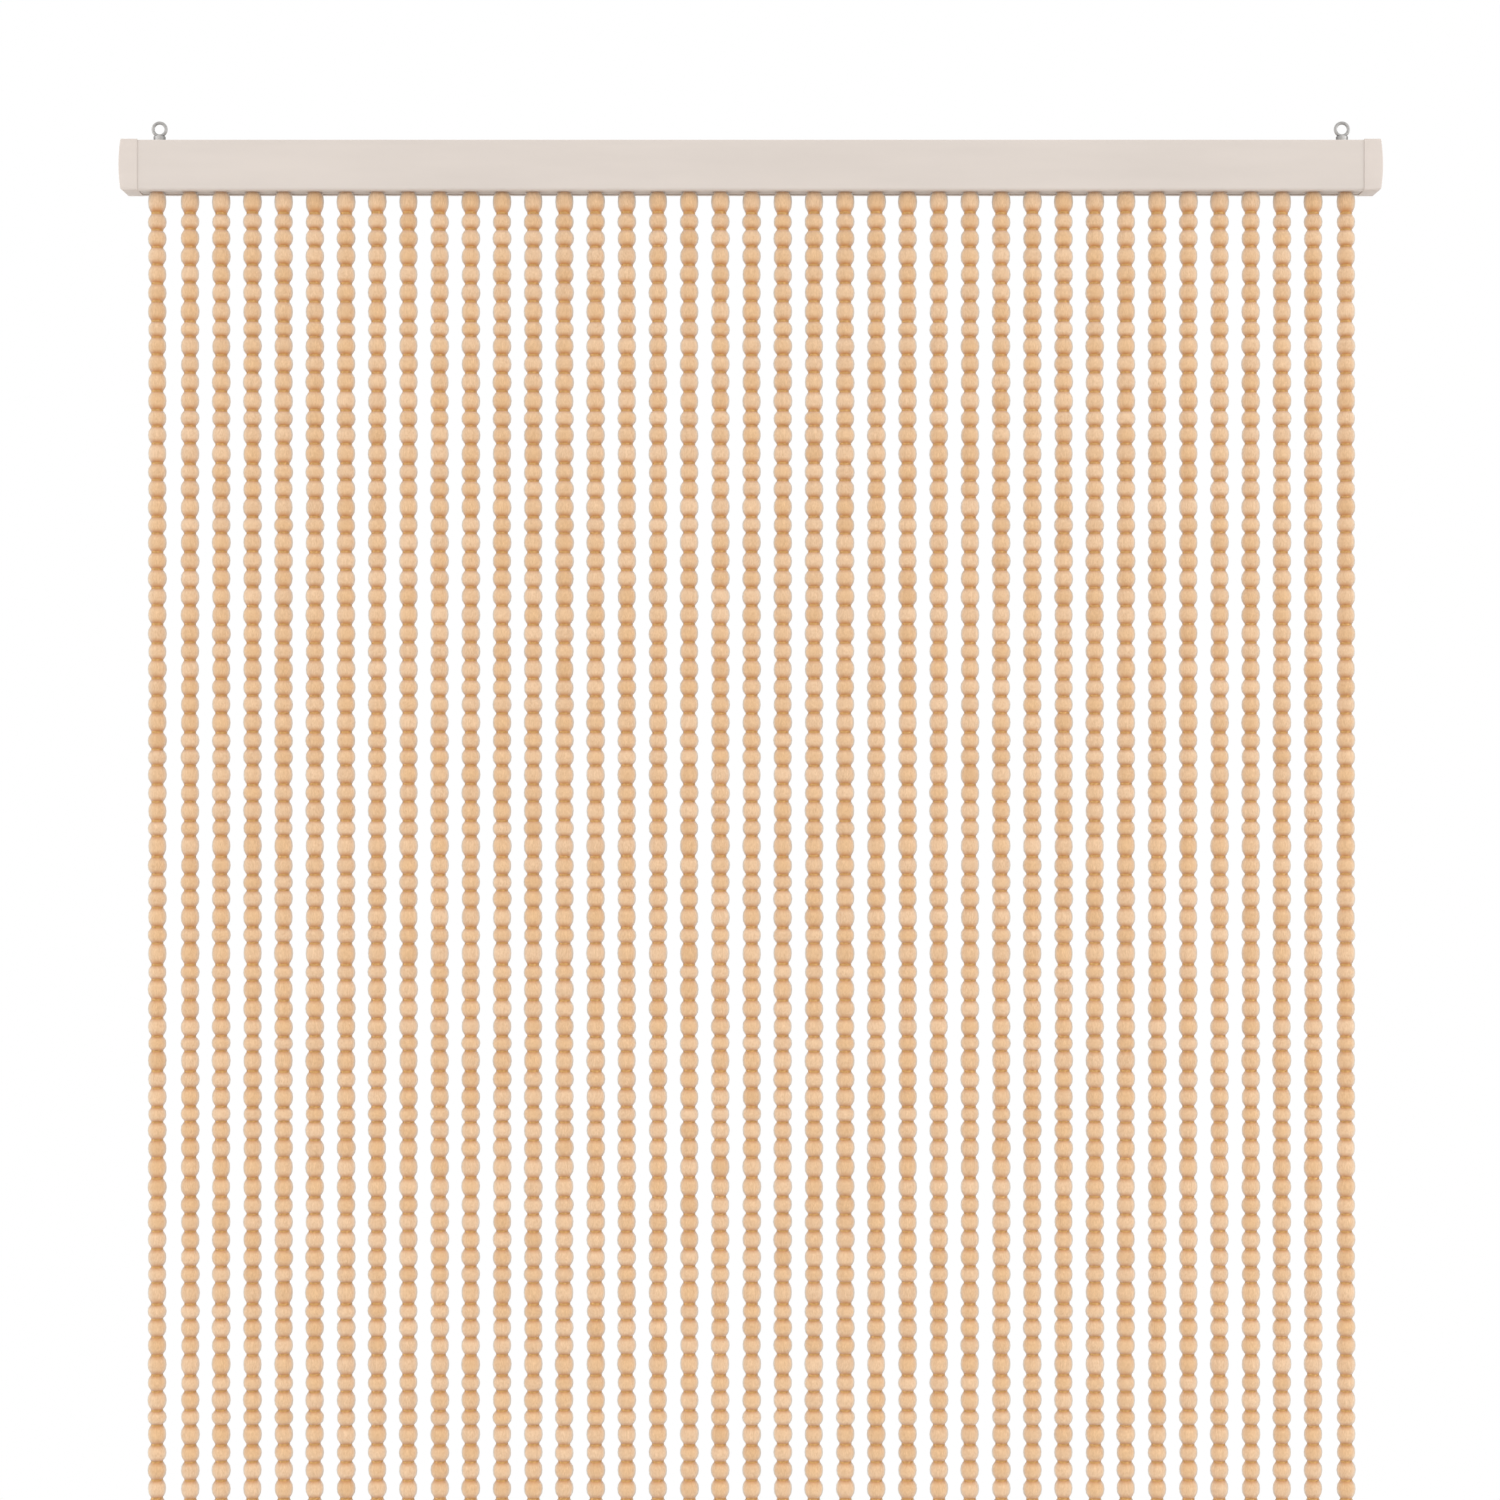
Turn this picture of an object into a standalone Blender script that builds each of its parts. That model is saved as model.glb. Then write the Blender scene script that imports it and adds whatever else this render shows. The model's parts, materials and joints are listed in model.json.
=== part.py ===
"""Beaded fly curtain on its header rail.

A C-shaped rail hangs by two eyes. A narrow backing strip lies in the rail's slot, and
the strands are fused to it and hang straight down to the hem.
Metres, +Z up. The origin is midway between the centres of the two eyes' rings, and the
front faces -Y. Heights below are counted from the rail's top face.
"""

import math

import bmesh
import bpy

# Rail and end caps
TOTAL_WIDTH = 0.900
TOTAL_DROP = 2.100
RAIL_HEIGHT = 0.036
RAIL_DEPTH = 0.024
RAIL_WALL = 0.0015
RAIL_TOP_RADIUS = 0.0008
RAIL_BOTTOM_RADIUS = 0.0020
SLOT_WIDTH = 0.0140
CAP_WIDTH = 0.0119
CAP_BULGE = 0.0014
CAP_PROUD = 0.0006
CAP_EDGE_RADIUS = 0.0012
CAP_EDGE_SEGMENTS = 3
CAP_EDGE_ANGLE = math.radians(50.0)
TONGUE_LENGTH = 0.0080

# Backing strip and strands
STRAND_COUNT = 39
STRAND_PITCH = 0.0223
OUTER_STRAND_SHIFT = 0.00115
STRAND_SIDE = 0.0114
STRAND_SECTIONS = 8
STRAND_ROOT = 0.0010
SWAY = 0.0004
SWAY_WAVELENGTH = 1.30
STRAND_TWIST = math.radians(6.0)
TWIST_RUN = 3.0
PHASE_STEP = 0.618
HEM_SPREAD = 0.0030
HEM_STEP = 2.4
HEM_START = 1.0
FLANGE_WIDTH = 0.0185
FLANGE_THICKNESS = 0.0015
FLANGE_TAPER = 0.0002
STRIP_RECESS = 0.0006

# Hanging eyes
EYE_SPACING = 0.8462
EYE_CENTRE_HEIGHT = 0.0097
EYE_RING_RADIUS = 0.0046
EYE_WIRE_RADIUS = 0.00115
SHANK_RADIUS = 0.0012
SHANK_DEPTH = 0.0100
COLLAR_RADIUS = 0.0043
COLLAR_TOP = 0.0048
COLLAR_CHAMFER = 0.0005

# Clearance between neighbouring pieces
GAP = 0.0003

# Facets
ARC_STEPS = 4
CAP_CUTS = 9
RING_STEPS = 24
WIRE_SIDES = 8
SHANK_SIDES = 12
COLLAR_STEPS = 20
SMOOTH_ANGLE = math.radians(30.0)
MERGE_DISTANCE = 0.00001

# Worked out from the sizes above
SEAM_X = TOTAL_WIDTH / 2 - CAP_BULGE - CAP_WIDTH
RAIL_HALF = SEAM_X - GAP
LIP_TOP = -RAIL_HEIGHT + RAIL_WALL
FLANGE_TOP = LIP_TOP + GAP + FLANGE_THICKNESS

SIDES = {"left": -1.0, "right": 1.0}

# A profile's x and y become world Y and Z, and its extrusion runs along world X.
ALONG_X = (math.pi / 2, 0.0, math.pi / 2)


def clear_scene():
    for obj in list(bpy.data.objects):
        bpy.data.objects.remove(obj, do_unlink=True)


def make_collection(name):
    collection = bpy.data.collections.new(name)
    bpy.context.scene.collection.children.link(collection)
    return collection


def make_material(name, colour, roughness, metallic=0.0):
    material = bpy.data.materials.new(name)
    material.use_nodes = True
    shader = material.node_tree.nodes["Principled BSDF"]
    shader.inputs["Base Color"].default_value = (*colour, 1.0)
    shader.inputs["Roughness"].default_value = roughness
    shader.inputs["Metallic"].default_value = metallic
    material.diffuse_color = (*colour, 1.0)
    return material


def add_part(name, mesh, material):
    """Links a mesh as one sub-part, under the empty that carries the whole curtain."""
    mesh.materials.clear()
    mesh.materials.append(material)
    obj = bpy.data.objects.new(name, mesh)
    parts.objects.link(obj)
    obj.parent = root
    return obj


def add_helper(name, mesh):
    """Links a mesh that only cuts or joins a part, and is never rendered."""
    obj = bpy.data.objects.new(name, mesh)
    helpers.objects.link(obj)
    obj.parent = root
    obj.hide_render = True
    obj.display_type = "WIRE"
    return obj


def combine(obj, helper, operation):
    modifier = obj.modifiers.new(helper.name, "BOOLEAN")
    modifier.operation = operation
    modifier.solver = "EXACT"
    modifier.object = helper


def mesh_from(bm, name):
    mesh = bpy.data.meshes.new(name)
    bm.to_mesh(mesh)
    bm.free()
    return mesh


def box_mesh(name, low, high):
    """A box between two corners."""
    bm = bmesh.new()
    bmesh.ops.create_cube(bm, size=1.0)
    for vert in bm.verts:
        vert.co = [a + (c + 0.5) * (b - a) for a, b, c in zip(low, high, vert.co)]
    return mesh_from(bm, name)


def rod_mesh(name, radius, low, high):
    """An upright round rod from one height to another."""
    bm = bmesh.new()
    bmesh.ops.create_cone(
        bm, cap_ends=True, segments=SHANK_SIDES, radius1=radius, radius2=radius, depth=high - low
    )
    bmesh.ops.translate(bm, verts=bm.verts, vec=(0.0, 0.0, (low + high) / 2))
    return mesh_from(bm, name)


def corner(x, y, radius, start):
    """A quarter round of an outline, about a centre, from a start angle in quarter turns."""
    turns = [(start + step / ARC_STEPS) * math.pi / 2 for step in range(ARC_STEPS + 1)]
    return [(x + radius * math.cos(turn), y + radius * math.sin(turn)) for turn in turns]


def extruded_mesh(name, outline, half_length):
    """The closed mesh of a flat outline, extruded both ways along its own Z."""
    curve = bpy.data.curves.new(name, "CURVE")
    curve.dimensions = "2D"
    curve.fill_mode = "BOTH"
    curve.extrude = half_length
    spline = curve.splines.new("POLY")
    spline.points.add(len(outline) - 1)
    for point, (x, y) in zip(spline.points, outline):
        point.co = (x, y, 0.0, 1.0)
    spline.use_cyclic_u = True
    guide = bpy.data.objects.new(name, curve)
    helpers.objects.link(guide)
    graph = bpy.context.evaluated_depsgraph_get()
    mesh = bpy.data.meshes.new_from_object(guide.evaluated_get(graph))
    bpy.data.objects.remove(guide)
    bm = bmesh.new()
    bm.from_mesh(mesh)
    bmesh.ops.remove_doubles(bm, verts=bm.verts, dist=MERGE_DISTANCE)
    bm.to_mesh(mesh)
    bm.free()
    mesh.shade_smooth()
    mesh.set_sharp_from_angle(angle=SMOOTH_ANGLE)
    return mesh


def rail_outline():
    """The rail's C section, as Y and Z: round outside, square inside, open at the slot."""
    half = RAIL_DEPTH / 2
    inner = half - RAIL_WALL
    lip = SLOT_WIDTH / 2
    top = RAIL_TOP_RADIUS
    low = RAIL_BOTTOM_RADIUS
    outer_side = (
        corner(half - low, low - RAIL_HEIGHT, low, 3)
        + corner(half - top, -top, top, 0)
        + corner(top - half, -top, top, 1)
        + corner(low - half, low - RAIL_HEIGHT, low, 2)
    )
    inner_side = [
        (-lip, -RAIL_HEIGHT),
        (-lip, LIP_TOP),
        (-inner, LIP_TOP),
        (-inner, -RAIL_WALL),
        (inner, -RAIL_WALL),
        (inner, LIP_TOP),
        (lip, LIP_TOP),
        (lip, -RAIL_HEIGHT),
    ]
    return outer_side + inner_side


def strip_outline():
    """The backing strip's T section, as Y and Z: its flange rests on the rail's two lips."""
    flange = FLANGE_WIDTH / 2
    web = SLOT_WIDTH / 2 - GAP
    flange_low = LIP_TOP + GAP
    tip_low = flange_low + FLANGE_TAPER
    web_low = STRIP_RECESS - RAIL_HEIGHT
    return [
        (-flange, FLANGE_TOP),
        (-flange, tip_low),
        (-web, flange_low),
        (-web, web_low),
        (web, web_low),
        (web, flange_low),
        (flange, tip_low),
        (flange, FLANGE_TOP),
    ]


def make_rail(material):
    rail = add_part("rail", extruded_mesh("rail", rail_outline(), RAIL_HALF), material)
    rail.rotation_euler = ALONG_X
    for side in SIDES:
        low, high = -2 * RAIL_WALL, RAIL_WALL
        hole = add_helper(f"eye_hole_{side}", rod_mesh("eye_hole", SHANK_RADIUS + GAP, low, high))
        hole.location.x = SIDES[side] * EYE_SPACING / 2
        combine(rail, hole, "DIFFERENCE")


def cap_mesh():
    """A cap for the +X end: its inner face is at the seam, its outer face domed in height."""
    half_y = RAIL_DEPTH / 2 + CAP_PROUD
    half_z = RAIL_HEIGHT / 2 + CAP_PROUD
    low = (0.0, -half_y, -half_z)
    high = (CAP_WIDTH, half_y, half_z)
    bm = bmesh.new()
    bm.from_mesh(box_mesh("cap_block", low, high))
    outer = max(bm.faces, key=lambda face: face.calc_center_median().x)
    upright = [edge for edge in outer.edges if edge.verts[0].co.y == edge.verts[1].co.y]
    bmesh.ops.subdivide_edges(bm, edges=upright, cuts=CAP_CUTS)
    for vert in bm.verts:
        if vert.co.x > CAP_WIDTH / 2:
            vert.co.x += CAP_BULGE * (1 - (vert.co.z / half_z) ** 2)
    mesh = mesh_from(bm, "end_cap")
    mesh.shade_smooth()
    return mesh


def make_end_caps(material):
    """Both caps share one mesh. Each has a tongue that plugs into the rail's channel."""
    mesh = cap_mesh()
    centre_z = -RAIL_HEIGHT / 2
    tongue_y = RAIL_DEPTH / 2 - RAIL_WALL - GAP
    tongue_low = FLANGE_TOP + GAP
    tongue_high = -RAIL_WALL - GAP
    for side, sign in SIDES.items():
        cap = add_part(f"end_cap_{side}", mesh, material)
        cap.location = (sign * SEAM_X, 0.0, centre_z)
        cap.rotation_euler.z = 0.0 if sign > 0 else math.pi
        bevel = cap.modifiers.new("round_edges", "BEVEL")
        bevel.width = CAP_EDGE_RADIUS
        bevel.segments = CAP_EDGE_SEGMENTS
        bevel.limit_method = "ANGLE"
        bevel.angle_limit = CAP_EDGE_ANGLE
        near = sign * (SEAM_X - TONGUE_LENGTH)
        far = sign * (SEAM_X + CAP_WIDTH / 2)
        low = (min(near, far), -tongue_y, tongue_low)
        high = (max(near, far), tongue_y, tongue_high)
        combine(cap, add_helper(f"tongue_{side}", box_mesh("tongue", low, high)), "UNION")


def strand_x(index):
    """Where a strand hangs. The outermost two stand a little further out than the pitch."""
    offset = index - (STRAND_COUNT - 1) / 2
    shift = OUTER_STRAND_SHIFT if index in (0, STRAND_COUNT - 1) else 0.0
    return offset * STRAND_PITCH + math.copysign(shift, offset)


def strand_phase(index):
    """A steady spread of phases, so that no two neighbours hang alike."""
    return math.tau * ((index * PHASE_STEP) % 1.0)


def sway(index, drop):
    """How far a strand strays sideways at a given drop below the rail."""
    return SWAY * math.sin(math.tau * drop / SWAY_WAVELENGTH + strand_phase(index))


def strand_end(index):
    """The strand's drop to its hem, which is uneven by a few millimetres."""
    return TOTAL_DROP - HEM_SPREAD * (0.5 + 0.5 * math.sin(HEM_STEP * index + HEM_START))


def add_strand(bm, index):
    """One four-sided strand: a long box, cut into sections that stray and turn a little."""
    top = FLANGE_TOP - STRAND_ROOT
    bottom = -strand_end(index)
    before = len(bm.verts)
    corners = bmesh.ops.create_cube(bm, size=1.0)["verts"]
    edges = {edge for vert in corners for edge in vert.link_edges}
    upright = [edge for edge in edges if abs(edge.verts[0].co.z - edge.verts[1].co.z) > 0.5]
    bmesh.ops.subdivide_edges(bm, edges=upright, cuts=STRAND_SECTIONS - 1)
    for vert in list(bm.verts)[before:]:
        share = vert.co.z + 0.5
        height = bottom + share * (top - bottom)
        turn = STRAND_TWIST * (1.0 - share) * math.sin(strand_phase(index) + TWIST_RUN * share)
        x = vert.co.x * STRAND_SIDE
        y = vert.co.y * STRAND_SIDE
        vert.co.x = strand_x(index) + sway(index, -height) * (1.0 - share) + (
            x * math.cos(turn) - y * math.sin(turn)
        )
        vert.co.y = x * math.sin(turn) + y * math.cos(turn)
        vert.co.z = height


def make_bead_strings(material):
    """The backing strip, as long as the rail, with every strand fused to it at its root."""
    strip = extruded_mesh("bead_strings", strip_outline(), RAIL_HALF)
    strings = add_part("bead_strings", strip, material)
    strings.rotation_euler = ALONG_X
    bm = bmesh.new()
    for index in range(STRAND_COUNT):
        add_strand(bm, index)
    combine(strings, add_helper("strands", mesh_from(bm, "strands")), "UNION")


def turn_about_z(obj):
    modifier = obj.modifiers.new("turn", "SCREW")
    modifier.axis = "Z"
    modifier.angle = math.tau
    modifier.steps = COLLAR_STEPS
    modifier.render_steps = COLLAR_STEPS
    modifier.use_merge_vertices = True
    modifier.merge_threshold = MERGE_DISTANCE
    modifier.use_smooth_shade = False


def base_mesh():
    """Half the section of the collar and its shank, which the Screw modifier turns."""
    profile = [
        (0.0, COLLAR_TOP),
        (COLLAR_RADIUS - COLLAR_CHAMFER, COLLAR_TOP),
        (COLLAR_RADIUS, COLLAR_TOP - COLLAR_CHAMFER),
        (COLLAR_RADIUS, GAP),
        (SHANK_RADIUS, GAP),
        (SHANK_RADIUS, -SHANK_DEPTH),
        (0.0, -SHANK_DEPTH),
    ]
    bm = bmesh.new()
    verts = [bm.verts.new((x, 0.0, z)) for x, z in profile]
    for pair in zip(verts, verts[1:]):
        bm.edges.new(pair)
    return mesh_from(bm, "eye_base")


def make_eyes(material):
    """Each eye is a ring that faces the front, a collar below it and a shank in the rail."""
    for side, sign in SIDES.items():
        place = (sign * EYE_SPACING / 2, 0.0, EYE_CENTRE_HEIGHT)
        bpy.ops.mesh.primitive_torus_add(
            major_segments=RING_STEPS,
            minor_segments=WIRE_SIDES,
            major_radius=EYE_RING_RADIUS,
            minor_radius=EYE_WIRE_RADIUS,
        )
        torus = bpy.context.active_object
        mesh = torus.data
        bpy.data.objects.remove(torus)
        mesh.shade_smooth()
        eye = add_part(f"eye_{side}", mesh, material)
        eye.location = place
        eye.rotation_euler.x = math.pi / 2
        base = add_helper(f"eye_base_{side}", base_mesh())
        base.location.x = place[0]
        turn_about_z(base)
        combine(eye, base, "UNION")


clear_scene()
parts = make_collection("fly_curtain")
helpers = make_collection("helpers")
root = bpy.data.objects.new("curtain", None)
parts.objects.link(root)
root.location.z = -EYE_CENTRE_HEIGHT

lacquer = make_material("rail_lacquer", (0.60, 0.54, 0.50), 0.42)
cap_plastic = make_material("cap_plastic", (0.62, 0.56, 0.51), 0.48)
yarn = make_material("bound_yarn", (0.74, 0.49, 0.29), 0.88)
steel = make_material("eye_steel", (0.42, 0.42, 0.41), 0.42, 1.0)

make_rail(lacquer)
make_end_caps(cap_plastic)
make_bead_strings(yarn)
make_eyes(steel)
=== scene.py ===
"""Looks of a beaded fly curtain that hangs from its header rail.

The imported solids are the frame. Finished pieces stand in their place: lacquered rail,
moulded end caps, backing strip, hanging eyes, and strings of yarn that gold thread binds
into round beads.
Metres, +Z up. The origin is midway between the centres of the two eyes' rings, and the
front faces -Y.
"""

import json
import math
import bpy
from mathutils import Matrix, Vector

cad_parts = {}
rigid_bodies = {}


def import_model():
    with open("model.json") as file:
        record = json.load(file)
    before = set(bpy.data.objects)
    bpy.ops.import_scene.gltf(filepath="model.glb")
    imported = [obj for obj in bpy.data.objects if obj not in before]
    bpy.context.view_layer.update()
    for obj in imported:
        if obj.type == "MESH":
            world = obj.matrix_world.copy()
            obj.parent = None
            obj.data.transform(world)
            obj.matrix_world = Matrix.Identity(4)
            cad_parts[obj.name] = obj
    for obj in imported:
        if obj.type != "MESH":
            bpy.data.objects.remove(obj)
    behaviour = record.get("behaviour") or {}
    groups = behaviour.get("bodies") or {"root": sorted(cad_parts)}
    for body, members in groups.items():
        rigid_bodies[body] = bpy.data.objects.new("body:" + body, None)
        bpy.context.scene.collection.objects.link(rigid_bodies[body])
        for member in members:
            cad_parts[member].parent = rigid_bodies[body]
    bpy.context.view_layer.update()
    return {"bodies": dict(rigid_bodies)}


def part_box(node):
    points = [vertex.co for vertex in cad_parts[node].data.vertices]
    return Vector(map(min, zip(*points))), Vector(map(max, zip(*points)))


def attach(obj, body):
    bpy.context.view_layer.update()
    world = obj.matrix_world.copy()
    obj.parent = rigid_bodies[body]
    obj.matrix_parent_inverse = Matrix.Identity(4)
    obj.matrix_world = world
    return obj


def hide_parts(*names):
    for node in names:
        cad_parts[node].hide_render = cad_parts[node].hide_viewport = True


bl_info = {
    "name": "Beaded Fly Curtain",
    "version": (1, 0, 0),
    "blender": (4, 5, 0),
    "location": "View3D > Sidebar > Fly Curtain",
    "description": "Builds the bead strings, rail, end caps and eyes of a doorway fly curtain",
    "category": "Object",
}

import bmesh
import bpy
from mathutils import Matrix, Vector

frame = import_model()
BODY = next(iter(frame["bodies"]))

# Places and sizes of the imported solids
RAIL_LOW, RAIL_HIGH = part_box("rail")
CAP_LOW, CAP_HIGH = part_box("end_cap_right")
STRINGS_LOW, STRINGS_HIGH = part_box("bead_strings")
EYE_LOW, EYE_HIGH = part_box("eye_right")
EYE_X = (EYE_LOW.x + EYE_HIGH.x) / 2
SIDES = {"left": -1.0, "right": 1.0}

# Room between pieces, the hairline at an end cap, and where the cap's block begins
GAP = 0.0003
SEAM = 0.00004
CAP_SEAM = RAIL_HIGH.x + GAP

# The rail's section and what lies in it
RAIL_WALL = 0.0015
RAIL_TOP_RADIUS = 0.0008
RAIL_BOTTOM_RADIUS = 0.0020
SLOT_WIDTH = 0.0140
FLANGE_WIDTH = 0.0185
FLANGE_THICKNESS = 0.0015
STRIP_RECESS = 0.0006
CORNER_STEPS = 8
BORE_SEGMENTS = 24

# End caps. An edge is rounded by its share of the cap's edge radius, a flat one not at all
CAP_UPPER_EDGE = 0.40
CAP_SEAM_EDGE = 0.15
CAP_FLAT_ANGLE = 50.0
CAP_EDGE_SEGMENTS = 5
DOME_CUTS = 19

# Hanging eyes
RING_SEGMENTS = 72
WIRE_SEGMENTS = 24
COLLAR_SEGMENTS = 48

# Shading stays sharp where a surface turns by more degrees than this
SHARP_ANGLE = 40.0
COLLAR_SHARP_ANGLE = 30.0
STRING_SHARP_ANGLE = 50.0
MERGE_DISTANCE = 0.00001

# Bead strings. From string to string the hem steps by an angle, the sway by part of a turn
STRING_GROUPS = (6, 6, 5, 5, 5, 6, 6)
STRING_COUNT = sum(STRING_GROUPS)
STRING_ROOT = 0.0012
SWAY_WAVELENGTH = 1.30
SWAY_STEP = 0.618
HEM_SPREAD = 0.0030
HEM_STEP = 2.4
HEM_START = 1.0
STUB_FLARE = 1.5

# One bead and its binding: rings of facets, the outline as shares of length and half width,
# and how much a binding is drawn in between its edges
BEAD_BANDS = 6
BINDING_BANDS = 1
BEAD_OUTLINE = ((0.067, 0.755), (0.25, 0.945), (0.5, 1.0), (0.75, 0.935), (0.933, 0.745))
BINDING_WAIST = 0.07

# Seeds of the random draws. The last three are: how far the cells move on with a string's
# seed, what its seed for girth is ahead by, and what keeps a draw under a whole number
STEP_SEED = 11
CELL_SEED = 101
CELL_STRIDE = 17.0
GIRTH_SEED_SHIFT = 500.0
JUST_UNDER = 0.001

# The yarn pattern repeats in cells of one map, and each bead wears one cell
CELL_COLUMNS = 4
CELL_ROWS = 16
CELL_MARGIN_U = 0.010
CELL_MARGIN_V = 0.040
CELL_SPAN_U = 1.0 - 2.0 * CELL_MARGIN_U
CELL_SPAN_V = 1.0 - 2.0 * CELL_MARGIN_V
BEAD_SHARE_V = 0.75
BINDING_EDGE_V = 0.02
CELL_APART = (37.0, 53.0, 0.0)
CELL_MAP = "bead_cells"
BAKE_MAP = "OFBake"

# The string's ends wear a patch of the first cell: its middle, reach, and shift at the stub
END_MIDDLE = (0.5, 0.4)
END_REACH = (0.4, 0.3)
STUB_SHIFT_V = 0.1

# Sizes of the yarn patterns: radius around the string, and run down a bead
FIBRE_SIZE = (28.0, 8.0)
STREAK_SIZE = (5.0, 2.5)
FLECK_SIZE = (20.0, 6.0)
PAINTED_GLINT_SIZE = (5.0, 40.0)

# The yarn's tone: weights, the palest place in half lengths of a bead, set above the middle so that
# the lower end takes more painted shade, its flecks of painted shadow, and the power of the
# darkening towards the bindings, which is partly painted shade
STREAK_WEIGHT = 0.7
BEAD_TONE_WEIGHT = 0.3
PALEST_PLACE = 0.93
FLECK_LEVEL = 0.66
FLECK_MORE_AT_ENDS = 0.08
FLECK_DEPTH = 0.45
FLECK_RELIEF = 0.5
GATHER_AND_SHADE_POWER = 1.7
THREAD_TURNS = 5
THREAD_SLANT = 0.5

# Lacquer, plastic and steel: pattern sizes, and tones as shares of the piece's colour
LACQUER_CLOUD = (6.0, 40.0, 40.0)
LACQUER_DEEP = 0.955
LACQUER_PALE = 1.03
STEEL_SPOTS = 700.0
STEEL_LINES = (400.0, 400.0, 3000.0)
STEEL_DEEP = 0.88
STEEL_PALE = 1.08
# The collar's painted highlight down its middle and painted shade at its sides, as shares of the
# steel's colour; how far above and below the collar's top the painting fades in; and how far from
# the eye's middle the painted shade begins and is full
COLLAR_PAINTED_HIGHLIGHT = 1.35
COLLAR_PAINTED_SHADE = 0.55
COLLAR_BLEND_ABOVE = 0.0010
COLLAR_BLEND_BELOW = 0.0002
COLLAR_MIDDLE = 0.0004
COLLAR_SIDE = 0.0030

# The photo's frame in pixels, at the rail's front face, and the camera's sensor in mm
PHOTO_SIZE = 1500
PHOTO_RAIL_WIDTH = 1264.7
PHOTO_RAIL_CENTRE = 750.75
PHOTO_RAIL_TOP = 139.5
SENSOR_WIDTH = 36.0

# The stage
FLOOR_RADIUS = 2.2
FLOOR_SEGMENTS = 96
FLOOR_DROP = 0.05
FLOOR_DEEP = (0.80, 0.79, 0.78)
FLOOR_PALE = (0.86, 0.855, 0.85)
LIGHT_TARGET = (0.0, 0.0, -0.7)
LEFT_LIGHT_PLACE = (-3.3, -1.4, 0.25)
RIGHT_LIGHT_PLACE = (3.3, -1.4, 0.25)
SIDE_LIGHT_SIZE = 2.2
BACK_LIGHT_PLACE = (-0.6, 3.2, 0.8)
BACK_LIGHT_SIZE = 2.4
WORLD_COLOUR = (1.0, 0.985, 0.97)
WORLD_FROM_BELOW = 0.66
WORLD_MORE_ABOVE = 0.60

NODE_SPACING = 170.0


def colour_property(name, description, colour):
    return bpy.props.FloatVectorProperty(
        name=name, description=description, default=colour,
        size=3, min=0.0, max=1.0, subtype="COLOR",
    )


def length_property(name, description, default):
    return bpy.props.FloatProperty(
        name=name, description=description, default=default,
        min=0.0, precision=4, unit="LENGTH",
    )


def power_property(name, description, default):
    return bpy.props.FloatProperty(
        name=name, description=description, default=default, min=0.0, unit="POWER"
    )


def share_property(name, description, default, low, high):
    return bpy.props.FloatProperty(
        name=name, description=description, default=default,
        min=low, max=high, subtype="FACTOR",
    )


class CurtainStringSettings(bpy.types.PropertyGroup):
    """Sizes and colours of the bead strings."""

    pitch: length_property("Pitch", "Distance from one string to the next", 0.02233)
    outer_shift: length_property(
        "Outer Shift", "How far the two outermost strings stand outside the pitch", 0.00115
    )
    side_shift: length_property("Side Shift", "How far the strings hang to the right", 0.0006)
    bead_width: length_property("Bead Width", "Diameter of a bead at its widest", 0.0134)
    bead_pitch: length_property("Bead Pitch", "Distance from one binding to the next", 0.0128)
    first_extra: length_property("First Bead", "How much longer the first bead is", 0.0034)
    binding_height: length_property("Binding Height", "Height of the gold thread binding", 0.0012)
    step: length_property("Step", "How far a binding strays, in step on all strings", 0.0014)
    jitter: length_property("Jitter", "How far it strays on its own string alone", 0.0004)
    sway: length_property("Sway", "How far a string strays sideways", 0.0004)
    stub: length_property("Stub", "Least length of cut yarn below the last binding", 0.0030)
    neck_share: share_property(
        "Neck", "Width at a binding, as a share of the bead's width", 0.645, 0.2, 0.9
    )
    girth: share_property("Girth", "How much the beads differ in width", 0.035, 0.0, 0.2)
    sides: bpy.props.IntProperty(
        name="Sides", description="Facets around a string", default=10, min=6, max=24
    )
    seed: bpy.props.IntProperty(name="Seed", description="Seed of the random draws", default=7)
    yarn_light: colour_property("Light Yarn", "Palest fibres", (0.905, 0.642, 0.412))
    yarn_dark: colour_property("Dark Yarn", "Deepest fibres", (0.565, 0.346, 0.190))
    yarn_warmth: colour_property("Warmth", "Tint of the warmest beads", (0.935, 0.860, 0.710))
    # Yarn next to a binding: its deeper colour there, with painted shade in the crease and under
    # the bead; the flecks of painted shadow take it too
    gathered_yarn_and_shade: colour_property("Gathered Yarn and Shade", "Yarn next to a binding", (0.545, 0.212, 0.036))
    # Gold thread as lit and shaded colours: a painted highlight on the tops of the turns, and
    # painted shade between them
    thread_painted_highlight: colour_property(
        "Light Thread", "Gold thread in the light", (0.725, 0.430, 0.155)
    )
    thread_painted_shade: colour_property(
        "Dark Thread", "Between the turns of thread", (0.235, 0.098, 0.025)
    )


class CurtainRailSettings(bpy.types.PropertyGroup):
    """Colours of the rail, its end caps and its backing strip."""

    lacquer: colour_property("Lacquer", "Rail lacquer", (0.626, 0.568, 0.525))
    cap: colour_property("End Cap", "Moulded end caps", (0.640, 0.575, 0.530))
    # The backing strip's colour is deeper than the rail's: painted shade in the slot between the
    # strings
    strip: colour_property("Backing Strip", "Moulded strip in the slot", (0.545, 0.492, 0.447))
    cap_bulge: length_property("Cap Bulge", "How far an end cap's face is domed", 0.0014)
    cap_radius: length_property("Cap Edge", "Radius of an end cap's lower edges", 0.0027)


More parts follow.
